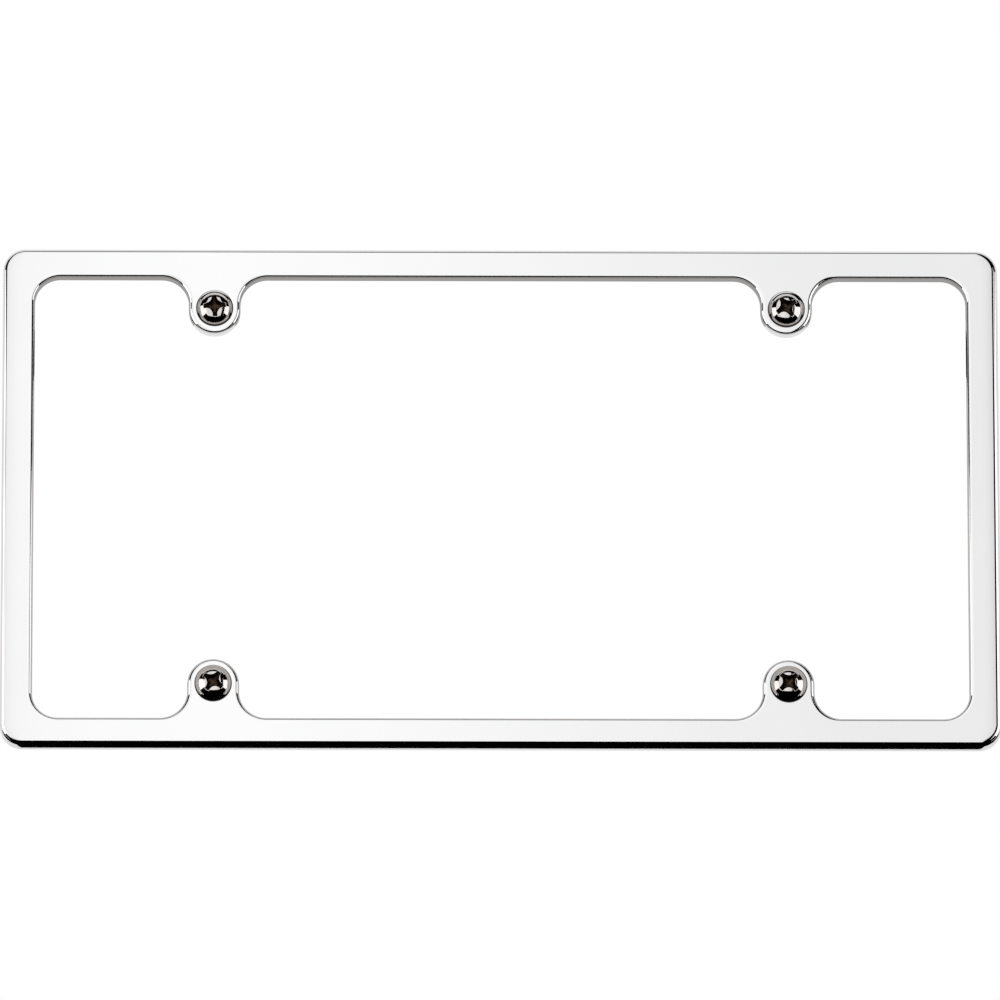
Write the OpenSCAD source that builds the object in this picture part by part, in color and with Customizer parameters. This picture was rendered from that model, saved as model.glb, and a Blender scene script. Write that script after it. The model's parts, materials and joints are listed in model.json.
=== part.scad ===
// Number plate frame with its four round-head screws.
// The frame stands upright: X is its width, Z its height, and its polished face looks along -Y.
// The origin is the middle of the four screws, on the face that the number plate lies against.

/* [Number plate] */
// Width of the number plate that the frame holds
plate_w = 304.8; // [290:0.1:320]
// Height of the number plate
plate_h = 152.4; // [145:0.1:170]
// Clearance between the plate's edge and the rim around it
plate_gap = 0.5; // [0.2:0.1:1.5]
// Corner radius of the pocket that takes the plate
pocket_corner_r = 5; // [2:0.5:9]
// Depth of the pocket behind the face wall
pocket_depth = 3; // [1.5:0.1:6]

/* [Frame] */
// Thickness of the face wall, from the polished face to the plate
face_t = 4.5; // [3.5:0.1:8]
// Thickness of the rim at the left and right
rim_side_w = 1.85; // [1:0.05:5]
// Thickness of the rim at the top and bottom
rim_end_w = 3; // [1.5:0.1:7]
// Width of the left and right bars
side_bar_w = 9.9; // [7:0.1:16]
// Width of the top bar
top_bar_w = 9.2; // [6:0.1:10]
// Width of the bottom bar
bottom_bar_w = 8.6; // [6:0.1:10]
// Outer corner radius
frame_corner_r = 7; // [5:0.5:12]
// Corner radius of the window
window_corner_r = 8; // [3:0.5:14]
// Rounding of the outer front edge
outer_edge_r = 2; // [0.5:0.1:3]
// Rounding of the front edge around the window
inner_edge_r = 1.5; // [0.3:0.1:1.8]

/* [Screw tabs] */
// Distance between the left and right screws
screw_span_x = 177.8; // [150:0.1:220]
// Distance between the upper and lower screws
screw_span_z = 120.65; // [112:0.05:124]
// Radius of a tab's round end
tab_r = 8; // [6.8:0.1:10]
// Radius of the blend between a tab and its bar
tab_fillet_r = 8.5; // [4:0.1:9]
// Clearance around a screw's thread in its hole
hole_gap = 0.325; // [0.15:0.025:0.6]

/* [Screws] */
// Outer radius of a screw's head
head_r = 5.8; // [5:0.1:6.4]
// Height of the round head
head_h = 4.1; // [3:0.1:5]
// Height of the straight edge under the dome
head_land = 0.4; // [0.2:0.1:1]
// Outer radius of the thread
shank_r = 3.175; // [2.5:0.005:3.5]
// How much smaller the radius of the plain neck is, where the screw passes through the frame
neck_step = 0.4; // [0.2:0.05:0.8]
// How far the neck reaches past the face that the plate lies against
neck_past = 0.2; // [0.1:0.05:0.5]
// Length of the shank under the head
shank_len = 19; // [12:0.5:32]
// Chamfer at the shank's end
shank_chamfer = 0.8; // [0.3:0.1:1.5]
// Radius of the cross recess at the top of the head
recess_r = 3.45; // [2.8:0.05:3.8]
// Radius of the recess at its floor
recess_floor_r = 1.5; // [1:0.05:2]
// Depth of the cross recess below the top of the dome
recess_depth = 3; // [2:0.1:3.5]
// Width of a recess wing at its tip
wing_w = 1.4; // [0.8:0.1:1.8]
// Distance from the middle of the recess to the waist between two wings
waist_r = 1.9; // [1.4:0.05:2.2]
// Turn of the cross recess in the upper left screw, in degrees
turn_top_left = 3; // [0:1:89]
// Turn of the cross recess in the upper right screw
turn_top_right = 32; // [0:1:89]
// Turn of the cross recess in the lower left screw
turn_bottom_left = 55; // [0:1:89]
// Turn of the cross recess in the lower right screw
turn_bottom_right = 44; // [0:1:89]

/* [Hidden] */
$fn = 96;

// Overlap that lets one cut run clear of the face it leaves
cut = 1;

// Depth to which the rim is sunk into the face wall, so that the two are one piece
rim_overlap = 1;

pocket_w = plate_w + 2 * plate_gap;
pocket_h = plate_h + 2 * plate_gap;
frame_w = pocket_w + 2 * rim_side_w;
frame_h = pocket_h + 2 * rim_end_w;
frame_t = face_t + pocket_depth;
half_w = frame_w / 2;
half_h = frame_h / 2;
window_x = half_w - side_bar_w;
window_top = half_h - top_bar_w;
window_bottom = half_h - bottom_bar_w;
screw_x = screw_span_x / 2;
screw_z = screw_span_z / 2;
hole_r = shank_r + hole_gap;

// Radius of the dome, from its height above the straight edge and its width
dome_h = head_h - head_land;
dome_r = (head_r * head_r + dome_h * dome_h) / (2 * dome_h);

// Circle that bites into the cross between two wings: it passes the waist and the flank of a wing's tip
flank_x = recess_r;
flank_y = wing_w / 2;
bite_at = (flank_x * flank_x + flank_y * flank_y - waist_r * waist_r)
    / (sqrt(2) * (flank_x + flank_y) - 2 * waist_r);
bite_r = bite_at - waist_r;

// Everything is drawn face up, with the plate's face at height 0, and then stood upright
module upright() {
    rotate([90, 0, 0]) children();
}

// Both halves of something drawn on the right
module left_and_right() {
    children();
    mirror([1, 0, 0]) children();
}

// Rectangle with round corners, centred
module round_rect(width, height, radius) {
    square([width, height - 2 * radius], center = true);
    square([width - 2 * radius, height], center = true);
    for (x = [-1, 1], y = [-1, 1])
        translate([x * (width / 2 - radius), y * (height / 2 - radius)]) circle(radius);
}

// Window without its tabs
module window_outline() {
    translate([0, (window_top - window_bottom) / 2])
        round_rect(2 * window_x, window_top + window_bottom, window_corner_r);
}

// Length of a tab's straight side, for a window edge at height edge. A short tab has none.
function tab_side(edge) = max(0, edge - screw_z - tab_fillet_r);

// Angle by which the blends of a short tab reach under its round end, 0 where it has straight sides
function tab_lean(edge) = asin(max(0, tab_fillet_r - edge + screw_z) / (tab_r + tab_fillet_r));

// Distance from the middle of a tab to the middle of its blend, along the bar
function tab_foot(edge) = (tab_r + tab_fillet_r) * cos(tab_lean(edge));

// Upper right tab and the two blends that join it to the bar
module tab_outline(edge) {
    lean = tab_lean(edge);
    foot = tab_foot(edge);
    blend_z = edge - tab_fillet_r;
    neck_w = 2 * tab_r * cos(lean);
    neck_z = screw_z - tab_r * sin(lean);
    meet_z = blend_z + tab_fillet_r * sin(lean);
    translate([screw_x, screw_z]) circle(tab_r);
    translate([screw_x - neck_w / 2, neck_z]) square([neck_w, edge + cut - neck_z]);
    difference() {
        translate([screw_x - foot, meet_z]) square([2 * foot, edge + cut - meet_z]);
        for (side = [-1, 1])
            translate([screw_x + side * foot, blend_z]) circle(tab_fillet_r);
    }
}

module face_outline() {
    difference() {
        round_rect(frame_w, frame_h, frame_corner_r);
        window_outline();
    }
    left_and_right() {
        tab_outline(window_top);
        mirror([0, 1, 0]) tab_outline(window_bottom);
    }
}

// What a rounding takes off the front edge, in section: the wall is at x = 0 and its metal at x < 0.
// The lip runs clear of the wall and of the face.
module edge_section(radius, lip) {
    difference() {
        translate([-radius, face_t - radius]) square([radius + lip, radius + lip]);
        translate([-radius, face_t - radius]) circle(radius);
    }
}

// Rounding of a straight wall that faces the angle given and runs to the left of that direction
module straight_edge(facing, length, radius) {
    rotate([0, 0, facing]) translate([0, length, 0]) rotate([90, 0, 0])
        linear_extrude(length) edge_section(radius, cut);
}

// Rounding of a wall that bends around its own metal
module convex_edge(bend_r, start, sweep, radius) {
    rotate([0, 0, start]) rotate_extrude(angle = sweep)
        translate([bend_r, 0]) edge_section(radius, cut);
}

// Rounding of a wall that bends around the open side
module concave_edge(bend_r, start, sweep, radius) {
    rotate([0, 0, start]) rotate_extrude(angle = sweep)
        translate([bend_r, 0]) mirror([1, 0]) edge_section(radius, cut);
}

// Rounding of the outer front edge
module outer_edge() {
    side = frame_h - 2 * frame_corner_r;
    top = frame_w - 2 * frame_corner_r;
    corner_x = half_w - frame_corner_r;
    corner_z = half_h - frame_corner_r;
    left_and_right() {
        translate([half_w, -corner_z, 0]) straight_edge(0, side, outer_edge_r);
        for (flip = [0, 1])
            mirror([0, flip, 0]) translate([corner_x, corner_z, 0])
                convex_edge(frame_corner_r, 0, 90, outer_edge_r);
    }
    translate([corner_x, half_h, 0]) straight_edge(90, top, outer_edge_r);
    translate([-corner_x, -half_h, 0]) straight_edge(-90, top, outer_edge_r);
}

// Rounding around the right-hand tab and along the bar beside it, up to the window's corner
module tab_edge(edge) {
    side = tab_side(edge);
    lean = tab_lean(edge);
    foot = tab_foot(edge);
    blend_z = edge - tab_fillet_r;
    corner_x = window_x - window_corner_r;
    translate([screw_x, screw_z, 0]) convex_edge(tab_r, 180 + lean, 180 - 2 * lean, inner_edge_r);
    if (side > 0) {
        translate([screw_x + tab_r, screw_z, 0]) straight_edge(0, side, inner_edge_r);
        translate([screw_x - tab_r, screw_z + side, 0]) straight_edge(180, side, inner_edge_r);
    }
    translate([screw_x + foot, blend_z, 0]) concave_edge(tab_fillet_r, 90, 90 - lean, inner_edge_r);
    translate([screw_x - foot, blend_z, 0]) concave_edge(tab_fillet_r, lean, 90 - lean, inner_edge_r);
    translate([screw_x + foot, edge, 0]) straight_edge(-90, corner_x - screw_x - foot, inner_edge_r);
    translate([corner_x, edge - window_corner_r, 0]) concave_edge(window_corner_r, 0, 90, inner_edge_r);
    translate([0, edge, 0]) straight_edge(-90, screw_x - foot, inner_edge_r);
}

// Rounding of the front edge all around the window
module inner_edge() {
    left_and_right() {
        tab_edge(window_top);
        mirror([0, 1, 0]) tab_edge(window_bottom);
        translate([window_x, window_top - window_corner_r, 0])
            straight_edge(180, window_top + window_bottom - 2 * window_corner_r, inner_edge_r);
    }
}

// Cast frame with a window, four screw tabs and a pocket for the plate behind
module frame() {
    color("gainsboro") upright() difference() {
        union() {
            linear_extrude(face_t) face_outline();
            translate([0, 0, -pocket_depth]) linear_extrude(pocket_depth + rim_overlap) difference() {
                round_rect(frame_w, frame_h, frame_corner_r);
                round_rect(pocket_w, pocket_h, pocket_corner_r);
            }
        }
        outer_edge();
        inner_edge();
        for (x = [-1, 1], z = [-1, 1])
            translate([x * screw_x, z * screw_z, -cut]) cylinder(r = hole_r, h = face_t + 2 * cut);
    }
}

// Plan of the cross recess: a disc with four round bites between its wings
module cross_outline(radius) {
    difference() {
        circle(radius);
        for (side = [0:3])
            rotate(45 + 90 * side) translate([bite_at, 0]) circle(bite_r);
    }
}

// Tapered cross recess, measured down from the top of the dome
module cross_recess() {
    rim_drop = dome_r - sqrt(dome_r * dome_r - recess_r * recess_r);
    taper = (recess_r - recess_floor_r) / (recess_depth - rim_drop);
    height = recess_depth + cut;
    mouth_r = recess_floor_r + taper * height;
    translate([0, 0, -recess_depth]) intersection() {
        cylinder(r1 = recess_floor_r, r2 = mouth_r, h = height);
        linear_extrude(height) cross_outline(mouth_r);
    }
}

// Round-head screw whose head sits on the face, with its cross recess turned by the angle given
module plate_screw(column, row, turn) {
    shank_end = face_t - shank_len;
    neck_r = shank_r - neck_step;
    color("silver") upright() translate([column * screw_x, row * screw_z, 0]) rotate([0, 0, turn]) {
        difference() {
            intersection() {
                translate([0, 0, face_t + head_h - dome_r]) sphere(dome_r);
                translate([0, 0, face_t]) cylinder(r = head_r, h = head_h);
            }
            translate([0, 0, face_t + head_h]) cross_recess();
        }
        translate([0, 0, -neck_past]) {
            cylinder(r = neck_r, h = neck_past + face_t + head_land);
            cylinder(r1 = shank_r, r2 = neck_r, h = neck_step);
        }
        translate([0, 0, shank_end + shank_chamfer])
            cylinder(r = shank_r, h = -neck_past - shank_end - shank_chamfer);
        translate([0, 0, shank_end])
            cylinder(r1 = shank_r - shank_chamfer, r2 = shank_r, h = shank_chamfer);
    }
}

module screw_top_left() {
    plate_screw(-1, 1, turn_top_left);
}

module screw_top_right() {
    plate_screw(1, 1, turn_top_right);
}

module screw_bottom_left() {
    plate_screw(-1, -1, turn_bottom_left);
}

module screw_bottom_right() {
    plate_screw(1, -1, turn_bottom_right);
}

frame();
screw_top_left();
screw_top_right();
screw_bottom_left();
screw_bottom_right();
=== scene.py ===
"""The look of a polished number plate frame with its four round-head screws.

Everything is in metres. X is the frame's width, Z its height, and its polished face looks along -Y.
The origin is the middle of the four screws, on the face that the number plate lies against.
"""
import json
import math

import bmesh
import bpy
from mathutils import Matrix, Vector


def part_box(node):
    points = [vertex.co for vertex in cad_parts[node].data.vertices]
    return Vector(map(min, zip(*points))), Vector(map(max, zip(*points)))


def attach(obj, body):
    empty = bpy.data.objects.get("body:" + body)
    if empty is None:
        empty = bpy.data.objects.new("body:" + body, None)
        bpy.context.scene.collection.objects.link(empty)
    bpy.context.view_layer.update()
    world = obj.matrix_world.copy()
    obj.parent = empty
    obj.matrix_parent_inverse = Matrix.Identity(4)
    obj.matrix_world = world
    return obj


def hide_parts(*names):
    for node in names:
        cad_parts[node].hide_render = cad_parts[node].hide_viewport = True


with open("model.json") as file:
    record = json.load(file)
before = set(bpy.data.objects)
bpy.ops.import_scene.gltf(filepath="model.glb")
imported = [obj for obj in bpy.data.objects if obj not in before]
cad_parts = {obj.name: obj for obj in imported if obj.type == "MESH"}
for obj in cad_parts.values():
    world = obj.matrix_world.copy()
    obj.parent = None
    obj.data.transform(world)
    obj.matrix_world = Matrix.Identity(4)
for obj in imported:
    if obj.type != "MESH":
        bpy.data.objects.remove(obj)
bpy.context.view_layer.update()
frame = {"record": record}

MM = 0.001

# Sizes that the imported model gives
frame_low, frame_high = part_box("frame")
screw_low, screw_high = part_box("screw_top_left")
pattern = next(m for m in frame["record"]["mounts"] if m["name"] == "screw_pattern")["dims"]
HALF_W = frame_high.x
HALF_H = frame_high.z
FACE_Y = frame_low.y
BACK_Y = frame_high.y
SEAT_Y = 0.0
SCREW_X = pattern["spacing_x_mm"] * MM / 2
SCREW_Z = pattern["spacing_y_mm"] * MM / 2
THREAD_R = pattern["stud_r_mm"] * MM
HEAD_R = (screw_high.x - screw_low.x) / 2
SHANK_END_Y = screw_high.y

# Sizes of the frame's bars and tabs, as the part has them
SIDE_BAR_W = 9.9 * MM
TOP_BAR_W = 9.2 * MM
BOTTOM_BAR_W = 8.6 * MM
RIM_SIDE_W = 1.85 * MM
RIM_END_W = 3 * MM
FRAME_CORNER_R = 7 * MM
WINDOW_CORNER_R = 8 * MM
POCKET_CORNER_R = 5 * MM
TAB_R = 8 * MM
TAB_BLEND_R = 8.5 * MM
HOLE_R = 3.5 * MM

# Roundings of the frame's edges
OUTER_EDGE_R = 2 * MM
INNER_EDGE_R = 1.5 * MM
BACK_EDGE_R = 0.3 * MM
HOLE_EDGE_R = 0.2 * MM
POCKET_FOOT_R = 0.5 * MM

# The buffed face drops towards its outer edge, over this width and to this slope in degrees
CROWN_W = 6.2 * MM
CROWN_SLOPE = 4

# Column, row and turn in degrees of each screw
SCREWS = {
    "screw_top_left": (-1, 1, 3),
    "screw_top_right": (1, 1, 32),
    "screw_bottom_left": (-1, -1, 55),
    "screw_bottom_right": (1, -1, 44),
}

# Sizes of a screw's head, and the dome that these give
HEAD_H = 4.1 * MM
HEAD_LAND = 0.4 * MM
HEAD_EDGE_R = 0.35 * MM
HEAD_FOOT_R = 0.1 * MM
HEAD_TOP_Y = FACE_Y - HEAD_H
DOME_H = HEAD_H - HEAD_LAND
DOME_R = (HEAD_R**2 + DOME_H**2) / (2 * DOME_H)
DOME_CENTRE_Y = HEAD_TOP_Y + DOME_R
HEAD_EDGE_LEAN = math.asin((HEAD_R - HEAD_EDGE_R) / (DOME_R - HEAD_EDGE_R))

# Height of the painted shade in the crease at the foot of a head, and the part of it where the shade sets in
CREASE_SHADE_H = 1.15 * MM
CREASE_SHADE_FADE_H = CREASE_SHADE_H / 4

# Cross recess at its mouth and at its floor: wing radius, half a wing's width, radius of the waist
RECESS_MOUTH = (3.33 * MM, 0.58 * MM, 1.78 * MM)
RECESS_FLOOR = (1.45 * MM, 0.40 * MM, 1.10 * MM)
RECESS_DEPTH = 3 * MM
RECESS_CORNER_R = 0.12 * MM
RECESS_LIP_R = 0.16 * MM

# Sizes of a screw's neck and thread
NECK_R = THREAD_R - 0.4 * MM
NECK_END_Y = SEAT_Y + 0.2 * MM
SHANK_CHAMFER = 0.8 * MM
SHANK_TIP_R = THREAD_R - SHANK_CHAMFER
THREAD_PITCH = 1.27 * MM
THREAD_START = 0.7 * THREAD_PITCH
THREAD_ROOT_R = 2.45 * MM
THREAD_FILLET_R = THREAD_ROOT_R + 0.03 * MM
THREAD_FLANK_R = 2.83 * MM

# Rows of the thread's profile, each with its share of a pitch and its radius
THREAD_ROWS = (
    (0, THREAD_R),
    (0.125, THREAD_R),
    (0.28, THREAD_FLANK_R),
    (0.4375, THREAD_FILLET_R),
    (0.5625, THREAD_ROOT_R),
    (0.6875, THREAD_FILLET_R),
    (0.84, THREAD_FLANK_R),
)

# Steps of the frame's mesh, with arcs in degrees
ARC_STEP = 4
STRAIGHT_STEP = 8 * MM
CROWN_STEPS = 8
EDGE_STEPS = 10
HOLE_EDGE_STEPS = 3
BACK_EDGE_STEPS = 4
POCKET_FOOT_STEPS = 5

# Steps of a screw's mesh. The lip's are leans in degrees
TIP_STEPS = 4
CORNER_STEPS = 4
WAIST_STEPS = 14
WALL_STEPS = 8
LIP_LEANS = (70, 50, 30, 12)
DOME_STEPS = 12
HEAD_EDGE_STEPS = 4
HEAD_FOOT_STEPS = 3

# Points closer than this are one point, and an edge sharper than this many degrees is shaded sharp
SAME_POINT = 1e-8
SHARP_ANGLE = 38

# Material slots of the frame and of a screw
CHROME, CAST = 0, 1
HEAD, THREAD, HOLLOW = 0, 1, 2


class Shell:
    """A closed mesh under construction. Points at one place are one point, and may have a true normal."""

    def __init__(self):
        self.bm = bmesh.new()
        self.found = {}
        self.normals = []

    def point(self, place, normal=(0, 0, 0)):
        key = tuple(round(v / SAME_POINT) for v in place)
        if key not in self.found:
            self.found[key] = self.bm.verts.new(place)
            self.normals.append(normal)
        return self.found[key]

    def face(self, points, slot=0):
        """A face, unless it has shrunk to a line or is there already."""
        corners = [p for i, p in enumerate(points) if p is not points[i - 1]]
        if len(set(corners)) < 3 or self.bm.faces.get(corners):
            return
        made = self.bm.faces.new(corners)
        made.material_index = slot

    def bridge(self, first, second, slot=0):
        """Quads between two closed rings of as many points."""
        for i in range(len(first)):
            self.face([first[i - 1], first[i], second[i], second[i - 1]], slot)

    def loft(self, rings, slot=0):
        for first, second in zip(rings, rings[1:]):
            self.bridge(first, second, slot)

    def fill(self, rings, slot=0):
        """Flat face inside the first ring and outside the others."""
        edges = []
        for ring_points in rings:
            for i, point in enumerate(ring_points):
                edges.append(self.bm.edges.get((ring_points[i - 1], point)))
        made = bmesh.ops.triangle_fill(self.bm, use_beauty=True, edges=edges)
        for piece in made["geom"]:
            if isinstance(piece, bmesh.types.BMFace):
                piece.material_index = slot

    def piece(self, name, materials):
        """The finished object, shaded with the true normals."""
        bmesh.ops.recalc_face_normals(self.bm, faces=self.bm.faces)
        for face in self.bm.faces:
            face.smooth = True
        mesh = bpy.data.meshes.new(name)
        self.bm.to_mesh(mesh)
        self.bm.free()
        for material in materials:
            mesh.materials.append(material)
        mesh.set_sharp_from_angle(angle=math.radians(SHARP_ANGLE))
        mesh.normals_split_custom_set_from_vertices(self.normals)
        made = bpy.data.objects.new(name, mesh)
        bpy.context.scene.collection.objects.link(made)
        return made


def spread(start, end, steps):
    """Numbers from start to end, both included, with as many even steps between them."""
    return [start + (end - start) * i / steps for i in range(steps + 1)]


def arc(centre, radius, start, sweep, side):
    """Arc in the XZ plane, angles in degrees, as points with their normals.

    side is 1 where the metal is inside the arc and -1 where it is outside. The normal leaves the metal.
    """
    steps = max(2, round(abs(sweep) / ARC_STEP))
    points = []
    for turn in spread(start, start + sweep, steps):
        angle = math.radians(turn)
        c, s = math.cos(angle), math.sin(angle)
        points.append((centre[0] + radius * c, centre[1] + radius * s, side * c, side * s))
    return points


def closed(points):
    """The outline with its long straight stretches divided."""
    outline = []
    for i, (x, z, nx, nz) in enumerate(points):
        px, pz = points[i - 1][:2]
        parts = max(1, round(math.hypot(x - px, z - pz) / STRAIGHT_STEP))
        for k in range(1, parts):
            outline.append((px + (x - px) * k / parts, pz + (z - pz) * k / parts, nx, nz))
        outline.append((x, z, nx, nz))
    return outline


def round_rect(half_w, half_h, radius, side):
    points = []
    for quarter, (sx, sz) in enumerate(((1, 1), (-1, 1), (-1, -1), (1, -1))):
        centre = (sx * (half_w - radius), sz * (half_h - radius))
        points += arc(centre, radius, 90 * quarter, 90, side)
    return closed(points)


def window_run(edge):
    """Upper edge of the window, from its right corner over both tabs to its left corner."""
    corner_x = HALF_W - SIDE_BAR_W - WINDOW_CORNER_R
    corner_z = edge - WINDOW_CORNER_R
    foot = TAB_R + TAB_BLEND_R
    run = arc((corner_x, corner_z), WINDOW_CORNER_R, 0, 90, -1)
    for x in (SCREW_X, -SCREW_X):
        run += arc((x + foot, edge - TAB_BLEND_R), TAB_BLEND_R, 90, 90, -1)
        run += arc((x, SCREW_Z), TAB_R, 0, -180, 1)
        run += arc((x - foot, edge - TAB_BLEND_R), TAB_BLEND_R, 0, 90, -1)
    run += arc((-corner_x, corner_z), WINDOW_CORNER_R, 90, 90, -1)
    return run


def window_outline():
    upper = window_run(HALF_H - TOP_BAR_W)
    lower = [(-x, -z, -nx, -nz) for x, z, nx, nz in window_run(HALF_H - BOTTOM_BAR_W)]
    return closed(upper + lower)


def hole_outlines():
    outlines = []
    for sx in (-1, 1):
        for sz in (-1, 1):
            centre = (sx * SCREW_X, sz * SCREW_Z)
            outlines.append(closed(arc(centre, HOLE_R, 0, 360 - ARC_STEP, -1)))
    return outlines


def ring(shell, outline, inset, y, lean):
    """Outline moved into the metal by inset, at y.

    lean is in degrees and turns the normal from -Y to the outline's own normal.
    """
    s, c = math.sin(math.radians(lean)), -math.cos(math.radians(lean))
    points = []
    for x, z, nx, nz in outline:
        points.append(shell.point((x - nx * inset, y, z - nz * inset), (nx * s, c, nz * s)))
    return points


def front_edge(shell, outline, radius, y, start=0, steps=EDGE_STEPS):
    """Rings of a rounding from the face at y to the wall."""
    centre_y = y + radius * math.cos(math.radians(start))
    rings = []
    for lean in spread(start, 90, steps):
        angle = math.radians(lean)
        inset = radius * (1 - math.sin(angle))
        rings.append(ring(shell, outline, inset, centre_y - radius * math.cos(angle), lean))
    return rings


def back_edge(shell, outline, y):
    """Rings of a rounding from the wall to the back face at y."""
    centre_y = y - BACK_EDGE_R
    rings = []
    for lean in spread(90, 180, BACK_EDGE_STEPS):
        angle = math.radians(lean)
        inset = BACK_EDGE_R * (1 - math.sin(angle))
        rings.append(ring(shell, outline, inset, centre_y - BACK_EDGE_R * math.cos(angle), lean))
    return rings


def crown(shell, outline):
    """Rings of the buffed drop towards the outer edge, and the depth that it ends at."""
    end_inset = OUTER_EDGE_R * (1 - math.sin(math.radians(CROWN_SLOPE)))
    width = (CROWN_W - end_inset) / CROWN_STEPS
    rings, y, slope = [ring(shell, outline, CROWN_W, FACE_Y, 0)], FACE_Y, 0
    for i in range(1, CROWN_STEPS + 1):
        lean = CROWN_SLOPE * (i / CROWN_STEPS) ** 2
        y += width * math.tan(math.radians((slope + lean) / 2))
        slope = lean
        if i < CROWN_STEPS:
            rings.append(ring(shell, outline, CROWN_W - i * width, y, lean))
    return rings, y


def pocket_wall(shell, outline):
    """Rings from the seat up the pocket's wall to the back of the rim."""
    rings = []
    for turn in spread(0, 90, POCKET_FOOT_STEPS):
        angle = math.radians(turn)
        inset = -POCKET_FOOT_R * (1 - math.sin(angle))
        rings.append(ring(shell, outline, inset, SEAT_Y + POCKET_FOOT_R * (1 - math.cos(angle)), 180 - turn))
    return rings + back_edge(shell, outline, BACK_Y)


def build_frame(chrome, cast):
    shell = Shell()
    outer = round_rect(HALF_W, HALF_H, FRAME_CORNER_R, 1)
    pocket = round_rect(HALF_W - RIM_SIDE_W, HALF_H - RIM_END_W, POCKET_CORNER_R, -1)
    window = window_outline()

    crown_rings, edge_y = crown(shell, outer)
    outer_rings = crown_rings + front_edge(shell, outer, OUTER_EDGE_R, edge_y, CROWN_SLOPE)
    outer_rings += back_edge(shell, outer, BACK_Y)
    window_rings = front_edge(shell, window, INNER_EDGE_R, FACE_Y)
    window_rings += back_edge(shell, window, SEAT_Y)
    pocket_rings = pocket_wall(shell, pocket)
    shell.loft(outer_rings, slot=CHROME)
    shell.loft(window_rings, slot=CHROME)
    shell.loft(pocket_rings, slot=CAST)

    # Rings that the flat faces at the front and at the seat leave open
    face_rings, seat_rings = [window_rings[0]], [window_rings[-1]]
    for hole in hole_outlines():
        rings = front_edge(shell, hole, HOLE_EDGE_R, FACE_Y, steps=HOLE_EDGE_STEPS)
        rings += back_edge(shell, hole, SEAT_Y)
        shell.loft(rings, slot=CAST)
        face_rings.append(rings[0])
        seat_rings.append(rings[-1])

    shell.fill([outer_rings[0], *face_rings], slot=CHROME)
    shell.fill([pocket_rings[0], *seat_rings], slot=CAST)
    shell.fill([outer_rings[-1], pocket_rings[-1]], slot=CAST)
    return shell.piece("chrome_frame", [chrome, cast])


def star(radius, half_wing, waist, offset):
    """Cross with hollow sides and corners rounded by offset. A point is (x, z, way into the metal)."""
    tip = math.asin(half_wing / radius)
    flank_far, flank_near = radius * math.cos(tip), half_wing

    # A circle bites each hollow side out of the cross
    bite_at = (radius**2 - waist**2) / (math.sqrt(2) * (flank_far + flank_near) - 2 * waist)
    bite = bite_at / math.sqrt(2)
    bite_r = bite_at - waist
    turn = math.atan2(bite - flank_near, bite - flank_far)
    far = math.pi / 2 - turn

    points = [(radius * math.cos(way), radius * math.sin(way), way) for way in spread(-tip, tip, TIP_STEPS)]
    points += [(flank_far, flank_near, way) for way in spread(tip, turn, CORNER_STEPS)[1:]]
    for way in spread(turn, far, WAIST_STEPS)[1:-1]:
        points.append((bite - bite_r * math.cos(way), bite - bite_r * math.sin(way), way))
    points += [(flank_near, flank_far, way) for way in spread(far, math.pi / 2 - tip, CORNER_STEPS)[:-1]]

    whole = []
    for quarter in range(4):
        c, s = round(math.cos(quarter * math.pi / 2)), round(math.sin(quarter * math.pi / 2))
        for x, z, way in points:
            mx, mz = math.cos(way), math.sin(way)
            px, pz = x + mx * offset, z + mz * offset
            whole.append((px * c - pz * s, px * s + pz * c, mx * c - mz * s, mx * s + mz * c))
    return whole


# The rings of a screw have as many points as the recess, and begin where the first wing's tip does
MOUTH = star(*RECESS_MOUTH, RECESS_CORNER_R)
ANGLES = [2 * math.pi * (i - TIP_STEPS // 2) / len(MOUTH) for i in range(len(MOUTH))]


def placer(shell, name):
    """A function that makes a screw's points from places around its own axis, turned as the screw is."""
    column, row, turn = SCREWS[name]
    middle_x, middle_z = column * SCREW_X, row * SCREW_Z
    c, s = math.cos(math.radians(turn)), math.sin(math.radians(turn))

    def at(x, z, y, normal=(0, 0, 0)):
        nx, ny, nz = normal
        place = (middle_x + x * c - z * s, y, middle_z + x * s + z * c)
        return shell.point(place, (nx * c - nz * s, ny, nx * s + nz * c))

    return at


def circle(at, radius, y, lean=None):
    """Ring around a screw's axis. lean is in radians and turns its normals from -Y outwards."""
    out, ahead = (0, 0) if lean is None else (math.sin(lean), -math.cos(lean))
    points = []
    for angle in ANGLES:
        c, s = math.cos(angle), math.sin(angle)
        points.append(at(radius * c, radius * s, y, (out * c, ahead, out * s)))
    return points


def dome_y(x, z):
    return DOME_CENTRE_Y - math.sqrt(DOME_R**2 - x * x - z * z)


def recess_rings(at):
    """Rings from the middle of the recess's floor and up its walls, to the foot of the lip."""
    drops = [dome_y(x, z) - HEAD_TOP_Y + RECESS_LIP_R for x, z, _, _ in MOUTH]
    rings = [[at(0, 0, HEAD_TOP_Y + RECESS_DEPTH)] * len(MOUTH)]
    for share in spread(0, 1, WALL_STEPS):
        sizes = [low + (high - low) * share for low, high in zip(RECESS_FLOOR, RECESS_MOUTH)]
        points = []
        for (x, z, _, _), drop in zip(star(*sizes, RECESS_CORNER_R), drops):
            points.append(at(x, z, HEAD_TOP_Y + RECESS_DEPTH * (1 - share) + drop * share))
        rings.append(points)
    return rings


def lip_rings(at):
    """Rings of the rounded lip between the recess and the dome."""
    rings = []
    for lean in LIP_LEANS:
        angle = math.radians(lean)
        out = RECESS_LIP_R * (1 - math.sin(angle))
        points = []
        for x, z, mx, mz in MOUTH:
            px, pz = x + mx * out, z + mz * out
            points.append(at(px, pz, dome_y(px, pz) + RECESS_LIP_R * (1 - math.cos(angle))))
        rings.append(points)
    return rings


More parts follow.
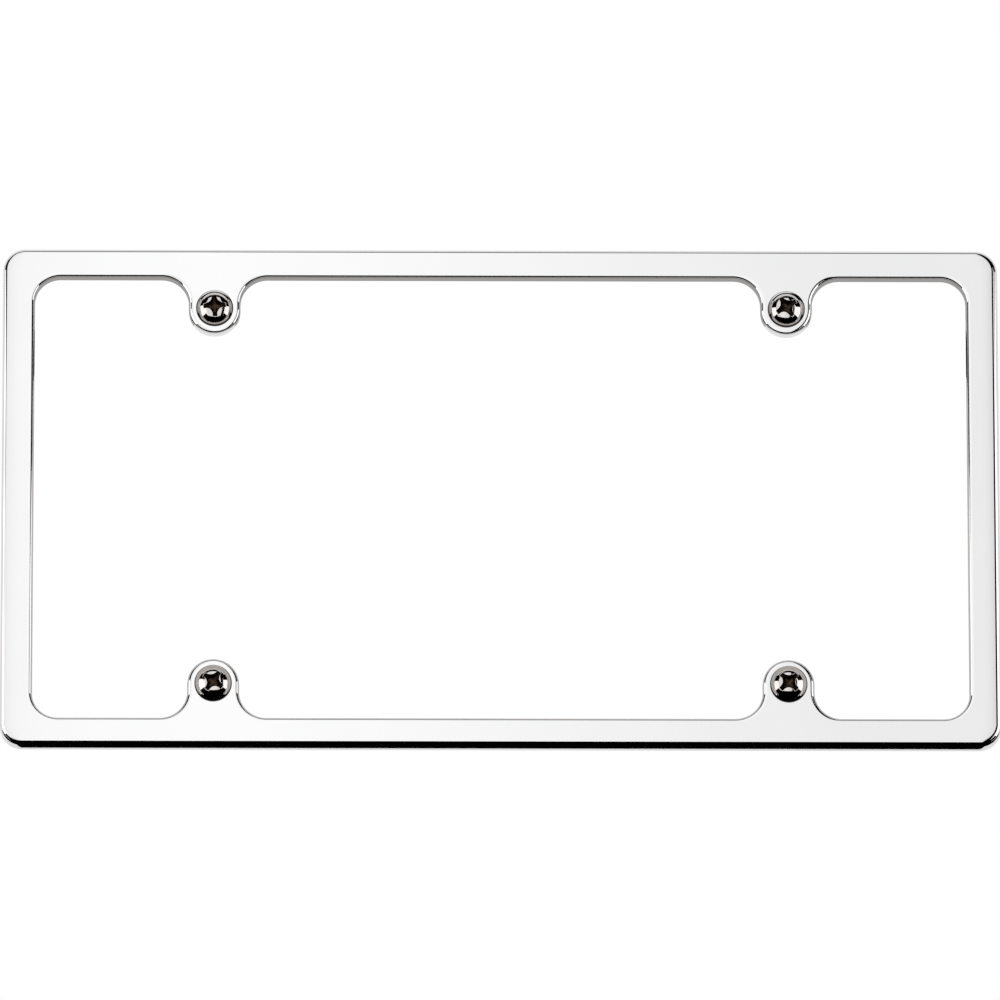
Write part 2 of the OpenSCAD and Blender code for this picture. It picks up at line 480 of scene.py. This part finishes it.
def dome_rings(at):
    """Rings over the dome, from the lip to the round edge of the head."""
    edge_r = DOME_R * math.sin(HEAD_EDGE_LEAN)
    rings = []
    for share in spread(0, 1, DOME_STEPS):
        points = []
        for (x, z, mx, mz), angle in zip(MOUTH, ANGLES):
            px, pz = x + mx * RECESS_LIP_R, z + mz * RECESS_LIP_R
            px += (edge_r * math.cos(angle) - px) * share
            pz += (edge_r * math.sin(angle) - pz) * share
            y = dome_y(px, pz)
            points.append(at(px, pz, y, (px / DOME_R, (y - DOME_CENTRE_Y) / DOME_R, pz / DOME_R)))
        rings.append(points)
    return rings


def rim_rings(at):
    """Rings of the head's round edge and of its foot on the frame's face."""
    centre_y = DOME_CENTRE_Y - (DOME_R - HEAD_EDGE_R) * math.cos(HEAD_EDGE_LEAN)
    rings = []
    for lean in spread(HEAD_EDGE_LEAN, math.pi / 2, HEAD_EDGE_STEPS)[1:]:
        radius = HEAD_R - HEAD_EDGE_R * (1 - math.sin(lean))
        rings.append(circle(at, radius, centre_y - HEAD_EDGE_R * math.cos(lean), lean))
    for lean in spread(math.pi / 2, math.pi, HEAD_FOOT_STEPS):
        radius = HEAD_R - HEAD_FOOT_R * (1 - math.sin(lean))
        rings.append(circle(at, radius, FACE_Y - HEAD_FOOT_R * (1 + math.cos(lean)), lean))
    return rings


def build_screw(name, head, thread, hollow):
    shell = Shell()
    at = placer(shell, name)
    recess = recess_rings(at)
    shell.loft(recess, slot=HOLLOW)
    head_rings = [recess[-1]] + lip_rings(at) + dome_rings(at) + rim_rings(at)
    neck_top = circle(at, NECK_R, FACE_Y)
    shell.loft([*head_rings, neck_top], slot=HEAD)
    shell.bridge(neck_top, circle(at, NECK_R, NECK_END_Y), slot=THREAD)
    build_thread(shell, at)
    return shell.piece(name + "_steel", [head, thread, hollow])


def build_thread(shell, at):
    """Thread whose rows follow the helix. It grows out of the neck and ends in a chamfer."""
    columns, per_turn = len(ANGLES), len(THREAD_ROWS)
    turns = math.ceil((SHANK_END_Y - NECK_END_Y) / THREAD_PITCH) + 1

    def vertex(k, j):
        share, radius = THREAD_ROWS[k % per_turn]
        y = NECK_END_Y + THREAD_PITCH * (k // per_turn - 1 + share + j / columns)
        y = min(max(y, NECK_END_Y), SHANK_END_Y)
        grown = min(1, (y - NECK_END_Y) / THREAD_START)
        radius = NECK_R + (radius - NECK_R) * grown * grown * (3 - 2 * grown)
        radius = min(radius, SHANK_TIP_R + SHANK_END_Y - y)
        return at(radius * math.cos(ANGLES[j]), radius * math.sin(ANGLES[j]), y)

    for j in range(columns):
        # The last column joins the first one, a turn further on
        beside, on = (j + 1, 0) if j + 1 < columns else (0, per_turn)
        for k in range(turns * per_turn - on):
            corners = [vertex(k, j), vertex(k + on, beside), vertex(k + 1 + on, beside), vertex(k + 1, j)]
            shell.face(corners, slot=THREAD)
    end = circle(at, SHANK_TIP_R, SHANK_END_Y)
    shell.bridge(end, [at(0, 0, SHANK_END_Y)] * columns, slot=THREAD)


def metal(name, base, roughness):
    """A metal with a Principled shader, and its tree, shader and object coordinates."""
    material = bpy.data.materials.new(name)
    material.use_nodes = True
    tree = material.node_tree
    shader = tree.nodes["Principled BSDF"]
    shader.inputs["Base Color"].default_value = (*base, 1)
    shader.inputs["Metallic"].default_value = 1
    shader.inputs["Roughness"].default_value = roughness
    place = tree.nodes.new("ShaderNodeTexCoord").outputs["Object"]
    return material, tree, shader, place


def varied(tree, shader, colour, roughness, normal):
    """The metal's colour, roughness and bumps, each from a node's output."""
    tree.links.new(colour, shader.inputs["Base Color"])
    tree.links.new(roughness, shader.inputs["Roughness"])
    tree.links.new(normal, shader.inputs["Normal"])


def noise(tree, place, scale, detail, stretch=(1, 1, 1)):
    """Noise of about one bump each 1/scale metres, longer where stretch is small."""
    mapping = tree.nodes.new("ShaderNodeMapping")
    mapping.inputs["Scale"].default_value = stretch
    tree.links.new(place, mapping.inputs["Vector"])
    texture = tree.nodes.new("ShaderNodeTexNoise")
    texture.inputs["Scale"].default_value = scale
    texture.inputs["Detail"].default_value = detail
    tree.links.new(mapping.outputs["Vector"], texture.inputs["Vector"])
    return texture.outputs["Fac"]


def ranged(tree, value, low, high, start=0.3, end=0.7):
    """The value from start to end as a number from low to high."""
    made = tree.nodes.new("ShaderNodeMapRange")
    for name, number in (("From Min", start), ("From Max", end), ("To Min", low), ("To Max", high)):
        made.inputs[name].default_value = number
    tree.links.new(value, made.inputs["Value"])
    return made.outputs["Result"]


def mixed(tree, share, first, second):
    """A colour between two others, each of them three numbers or a node's output."""
    made = tree.nodes.new("ShaderNodeMix")
    made.data_type = "RGBA"
    for name, colour in (("A", first), ("B", second)):
        if isinstance(colour, bpy.types.NodeSocket):
            tree.links.new(colour, made.inputs[name])
        else:
            made.inputs[name].default_value = (*colour, 1)
    tree.links.new(share, made.inputs["Factor"])
    return made.outputs["Result"]


def bumped(tree, height, depth, under=None):
    """Bumps of that depth in metres, on top of the ones under them."""
    made = tree.nodes.new("ShaderNodeBump")
    made.inputs["Strength"].default_value = 1
    made.inputs["Distance"].default_value = depth
    tree.links.new(height, made.inputs["Height"])
    if under is not None:
        tree.links.new(under, made.inputs["Normal"])
    return made.outputs["Normal"]


def polished_chrome():
    """Mirror plating with faint waves and buffing hairlines along X."""
    material, tree, shader, place = metal("polished_chrome", (0.93, 0.93, 0.935), 0.03)
    cloud = noise(tree, place, 40, 3)
    hairlines = noise(tree, place, 2500, 2, (0.03, 1, 1))
    colour = mixed(tree, ranged(tree, cloud, 0, 1), (0.925, 0.925, 0.93), (0.94, 0.94, 0.94))
    roughness = ranged(tree, cloud, 0.02, 0.045)
    waves = bumped(tree, noise(tree, place, 45, 1), 4e-6)
    varied(tree, shader, colour, roughness, bumped(tree, hairlines, 4e-8, waves))
    return material


def cast_back():
    """Dull plating over the grain of the casting."""
    material, tree, shader, place = metal("plated_casting", (0.6, 0.6, 0.61), 0.36)
    cloud = noise(tree, place, 60, 4)
    grain = noise(tree, place, 1800, 3)
    colour = mixed(tree, ranged(tree, cloud, 0, 1), (0.55, 0.55, 0.56), (0.68, 0.68, 0.69))
    roughness = ranged(tree, cloud, 0.3, 0.44)
    varied(tree, shader, colour, roughness, bumped(tree, grain, 2e-5, bumped(tree, cloud, 1e-4)))
    return material


def screw_steel():
    """Polished head, with shade painted near black into the crease where it meets the frame."""
    material, tree, shader, place = metal("screw_steel", (0.76, 0.74, 0.72), 0.06)
    cloud = noise(tree, place, 300, 3)
    unshaded = mixed(tree, ranged(tree, cloud, 0, 1), (0.74, 0.71, 0.69), (0.8, 0.78, 0.765))
    split = tree.nodes.new("ShaderNodeSeparateXYZ")
    tree.links.new(place, split.inputs["Vector"])
    # Painted shade: the head turns near black towards its foot, as the shade in the crease against the frame
    shade_top = FACE_Y - CREASE_SHADE_H
    crease_shade = ranged(tree, split.outputs["Y"], 0, 1, shade_top, shade_top + CREASE_SHADE_FADE_H)
    shaded_colour = mixed(tree, crease_shade, unshaded, (0.02, 0.018, 0.016))
    roughness = ranged(tree, cloud, 0.04, 0.09)
    varied(tree, shader, shaded_colour, roughness, bumped(tree, noise(tree, place, 500, 2), 1e-6))
    return material


def recess_painted_shade():
    """Metal of the recess, painted near black as the shade in it, brownish in patches."""
    # Near-black base colour: painted shade of the recess
    material, tree, shader, place = metal("recess_painted_shade", (0.05, 0.045, 0.04), 0.35)
    cloud = noise(tree, place, 900, 3)
    colour = mixed(tree, ranged(tree, cloud, 0, 1), (0.012, 0.011, 0.011), (0.09, 0.055, 0.035))
    roughness = ranged(tree, cloud, 0.3, 0.5)
    varied(tree, shader, colour, roughness, bumped(tree, noise(tree, place, 2500, 2), 4e-6))
    return material


def thread_steel():
    """Plain steel of the neck and thread."""
    material, tree, shader, place = metal("thread_steel", (0.62, 0.6, 0.58), 0.25)
    cloud = noise(tree, place, 700, 3)
    colour = mixed(tree, ranged(tree, cloud, 0, 1), (0.55, 0.53, 0.51), (0.68, 0.66, 0.64))
    roughness = ranged(tree, cloud, 0.18, 0.34)
    varied(tree, shader, colour, roughness, bumped(tree, noise(tree, place, 4000, 2), 3e-6))
    return material


def build_camera():
    """The photograph's view: from below and a little to the left, through a long lens."""
    distance, pitch, yaw, roll = 4.55, math.radians(15.6), math.radians(0.72), math.radians(0.074)
    ahead = Vector((math.cos(pitch) * math.sin(yaw), math.cos(pitch) * math.cos(yaw), math.sin(pitch)))
    upward = Vector((-math.sin(pitch) * math.sin(yaw), -math.sin(pitch) * math.cos(yaw), math.cos(pitch)))
    right = ahead.cross(upward)
    turn = Matrix((right, upward, -ahead)).transposed()
    data = bpy.data.cameras.new("camera")
    data.sensor_width = 36
    data.lens = 528.5
    data.shift_x = -0.00076
    data.shift_y = -0.0044
    data.clip_start = 0.1
    data.clip_end = 60
    camera = bpy.data.objects.new("camera", data)
    camera.rotation_mode = "QUATERNION"
    camera.rotation_quaternion = (turn @ Matrix.Rotation(-roll, 3, "Z")).to_quaternion()
    camera.location = Vector((0, FACE_Y, 0)) - ahead * distance
    bpy.context.scene.collection.objects.link(camera)
    bpy.context.scene.camera = camera


def seen(tree, hidden, shown):
    """One strength for light that falls on things, and another for what the camera, gloss and glass show."""
    path = tree.nodes.new("ShaderNodeLightPath")
    total = path.outputs["Is Camera Ray"]
    for name in ("Is Glossy Ray", "Is Transmission Ray"):
        add = tree.nodes.new("ShaderNodeMath")
        add.operation = "ADD"
        add.use_clamp = True
        tree.links.new(total, add.inputs[0])
        tree.links.new(path.outputs[name], add.inputs[1])
        total = add.outputs[0]
    return ranged(tree, total, hidden, shown, 0, 1)


def build_world():
    """A white world, a little dimmer as a light than it looks."""
    world = bpy.data.worlds.new("world")
    bpy.context.scene.world = world
    world.use_nodes = True
    tree = world.node_tree
    back = tree.nodes["Background"]
    back.inputs["Color"].default_value = (1, 1, 1, 1)
    tree.links.new(seen(tree, hidden=0.85, shown=1), back.inputs["Strength"])


def build_floor():
    """Pale floor far below."""
    material = bpy.data.materials.new("floor")
    material.use_nodes = True
    tree = material.node_tree
    shader = tree.nodes["Principled BSDF"]
    shader.inputs["Base Color"].default_value = (0.9, 0.9, 0.9, 1)
    shader.inputs["Roughness"].default_value = 0.9
    shader.inputs["Specular IOR Level"].default_value = 0
    shader.inputs["Emission Color"].default_value = (1, 1, 1, 1)
    tree.links.new(seen(tree, hidden=0, shown=0.3), shader.inputs["Emission Strength"])
    floor_z = -3
    whole = (-20, 20)
    staged("floor", level(floor_z, whole, whole), material)


def build_lamp():
    """One soft lamp from above, in front and to the left, that reflections don't show."""
    data = bpy.data.lights.new("lamp", "AREA")
    data.shape = "DISK"
    data.size = 1.2
    data.energy = 20
    lamp = bpy.data.objects.new("lamp", data)
    lamp.location = (-1.2, -1.8, 2.2)
    lamp.rotation_mode = "QUATERNION"
    lamp.rotation_quaternion = (-lamp.location).to_track_quat("-Z", "Y")
    lamp.visible_camera = False
    lamp.visible_glossy = False
    bpy.context.scene.collection.objects.link(lamp)


def glowing(name, strength, tint=(1, 1, 1), stops=()):
    """A light card's surface. A card that varies has stops of (place along X, share of the strength)."""
    material = bpy.data.materials.new(name)
    material.use_nodes = True
    tree = material.node_tree
    tree.nodes.clear()
    out = tree.nodes.new("ShaderNodeOutputMaterial")
    shader = tree.nodes.new("ShaderNodeEmission")
    shader.inputs["Color"].default_value = (*tint, 1)
    shader.inputs["Strength"].default_value = strength
    tree.links.new(shader.outputs["Emission"], out.inputs["Surface"])
    if stops:
        low, high = stops[0][0], stops[-1][0]
        place = tree.nodes.new("ShaderNodeTexCoord")
        split = tree.nodes.new("ShaderNodeSeparateXYZ")
        tree.links.new(place.outputs["Object"], split.inputs["Vector"])
        blend = tree.nodes.new("ShaderNodeValToRGB")
        blend.color_ramp.interpolation = "EASE"
        elements = blend.color_ramp.elements
        while len(elements) < len(stops):
            elements.new(1)
        for element, (x, share) in zip(elements, stops):
            element.position = (x - low) / (high - low)
            element.color = (share, share, share, 1)
        tree.links.new(ranged(tree, split.outputs["X"], 0, 1, low, high), blend.inputs["Fac"])
        tree.links.new(blend.outputs["Color"], shader.inputs["Color"])
    return material


def upright(y, xs, zs):
    """Corners of a card that faces along Y, between two places along X and two along Z."""
    return [(xs[0], y, zs[0]), (xs[1], y, zs[0]), (xs[1], y, zs[1]), (xs[0], y, zs[1])]


def sideways(x, ys, zs):
    return [(x, ys[0], zs[0]), (x, ys[1], zs[0]), (x, ys[1], zs[1]), (x, ys[0], zs[1])]


def level(z, xs, ys):
    return [(xs[0], ys[0], z), (xs[1], ys[0], z), (xs[1], ys[1], z), (xs[0], ys[1], z)]


def staged(name, corners, material):
    """A flat face that is part of the stage."""
    mesh = bpy.data.meshes.new(name)
    mesh.from_pydata(corners, [], [list(range(len(corners)))])
    mesh.materials.append(material)
    made = bpy.data.objects.new(name, mesh)
    bpy.context.scene.collection.objects.link(made)
    return made


def card(name, corners, material):
    """A flat card that only reflections show."""
    made = staged(name, corners, material)
    made.visible_camera = False
    made.visible_diffuse = False
    made.visible_shadow = False


def build_room(dark):
    """Dark walls in front of the object and a pale room behind it."""
    pale = glowing("room", 0.75)
    reach = 1.6
    whole = (-reach, reach)
    top_dark_to_y = -0.21
    bottom_dark_to_y = 0.15
    card("flag_front", upright(-reach, whole, whole), dark)
    card("flag_left", sideways(-reach, (-reach, 0), whole), dark)
    card("flag_right", sideways(reach, (-reach, 0), whole), dark)
    card("flag_low", level(-reach, whole, (-reach, bottom_dark_to_y)), dark)
    card("flag_high", level(reach, whole, (-reach, top_dark_to_y)), dark)
    card("room_back", upright(reach, whole, whole), pale)
    card("room_left", sideways(-reach, (0, reach), whole), pale)
    card("room_right", sideways(reach, (0, reach), whole), pale)
    card("room_low", level(-reach, whole, (bottom_dark_to_y, reach)), pale)
    card("room_high", level(reach, whole, (top_dark_to_y, reach)), pale)


def build_boxes():
    """A soft box in front, one at each side, and a bridge from each of these towards the front."""
    # The front box is brightest left of its middle, and its light falls off past the frame's sides
    front_y = -0.352
    front_left, front_right = -0.47, 0.235
    front_low, front_high = -0.375, 0.83
    stops = ((-0.26, 0.85), (-0.1, 1), (0.155, 0.86), (0.25, 0.66))
    front = glowing("front_box", 1.04, stops=stops)
    card("box_front", upright(front_y, (front_left, front_right), (front_low, front_high)), front)

    side_x = 0.95
    side_front, side_back = -0.62, -0.05
    side_low, side_high = -0.42, 0.32
    side = glowing("side_box", 1.3)
    for name, x in (("box_left", -side_x), ("box_right", side_x)):
        card(name, sideways(x, (side_front, side_back), (side_low, side_high)), side)

    # The left bridge meets the front box. The right one stops short of it and leaves a dark gap
    left_bridge_high = 0.15
    right_bridge_end = 0.47
    bridges = (
        ("box_bridge_left", -side_x, front_left, left_bridge_high),
        ("box_bridge_right", side_x, right_bridge_end, side_high),
    )
    for name, x, end_x, high in bridges:
        end, start = (end_x, front_y), (x, side_front)
        card(name, [(*end, side_low), (*start, side_low), (*start, high), (*end, high)], side)


def build_table(dark):
    """The table behind the frame, as its inner walls and the screws' flanks see it, with the frame's shadow
    painted on it.
    """
    table_y = 4 * MM
    window_x, window_z = 0.150, 0.075
    walls_z, tabs_z = 0.056, 0.041
    tab_half_w = 14 * MM
    window = (-window_x, window_x)
    # Painted shadow: the table is dimmer along the window's walls, where the frame shades it
    shadowed_table = glowing("table_shadow_at_walls", 0.35, (1.0, 0.98, 0.96))
    card("table_wall_strip", upright(table_y, window, (walls_z, window_z)), shadowed_table)
    rings = glowing("table_at_rings", 0.5, (1.0, 0.95, 0.92))
    card("table_ring", upright(table_y, window, (-window_z, tabs_z)), rings)
    tabs = glowing("table_at_tabs", 0.8, (1.0, 0.99, 1.0))
    for x in (-SCREW_X, SCREW_X):
        card("table_tab", upright(table_y, (x - tab_half_w, x + tab_half_w), (tabs_z, walls_z)), tabs)
    card("flag_window", upright(table_y + MM, window, (-window_z, window_z)), dark)

    # A dark strip below the frame's bottom edge
    under_y = 12 * MM
    under_half_w = 0.3
    under_low, under_high = -0.3, -0.0827
    card("flag_under", upright(under_y, (-under_half_w, under_half_w), (under_low, under_high)), dark)


build_camera()
build_world()
build_floor()
build_lamp()
flag = glowing("flag", 0)
build_room(flag)
build_boxes()
build_table(flag)

plate_frame = build_frame(polished_chrome(), cast_back())
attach(plate_frame, "root")
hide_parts("frame")

head_steel, shank_steel, hollow_shade = screw_steel(), thread_steel(), recess_painted_shade()
for screw_name in SCREWS:
    screw = build_screw(screw_name, head_steel, shank_steel, hollow_shade)
    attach(screw, "root")
    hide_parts(screw_name)

bpy.context.scene.view_settings.view_transform = "Standard"
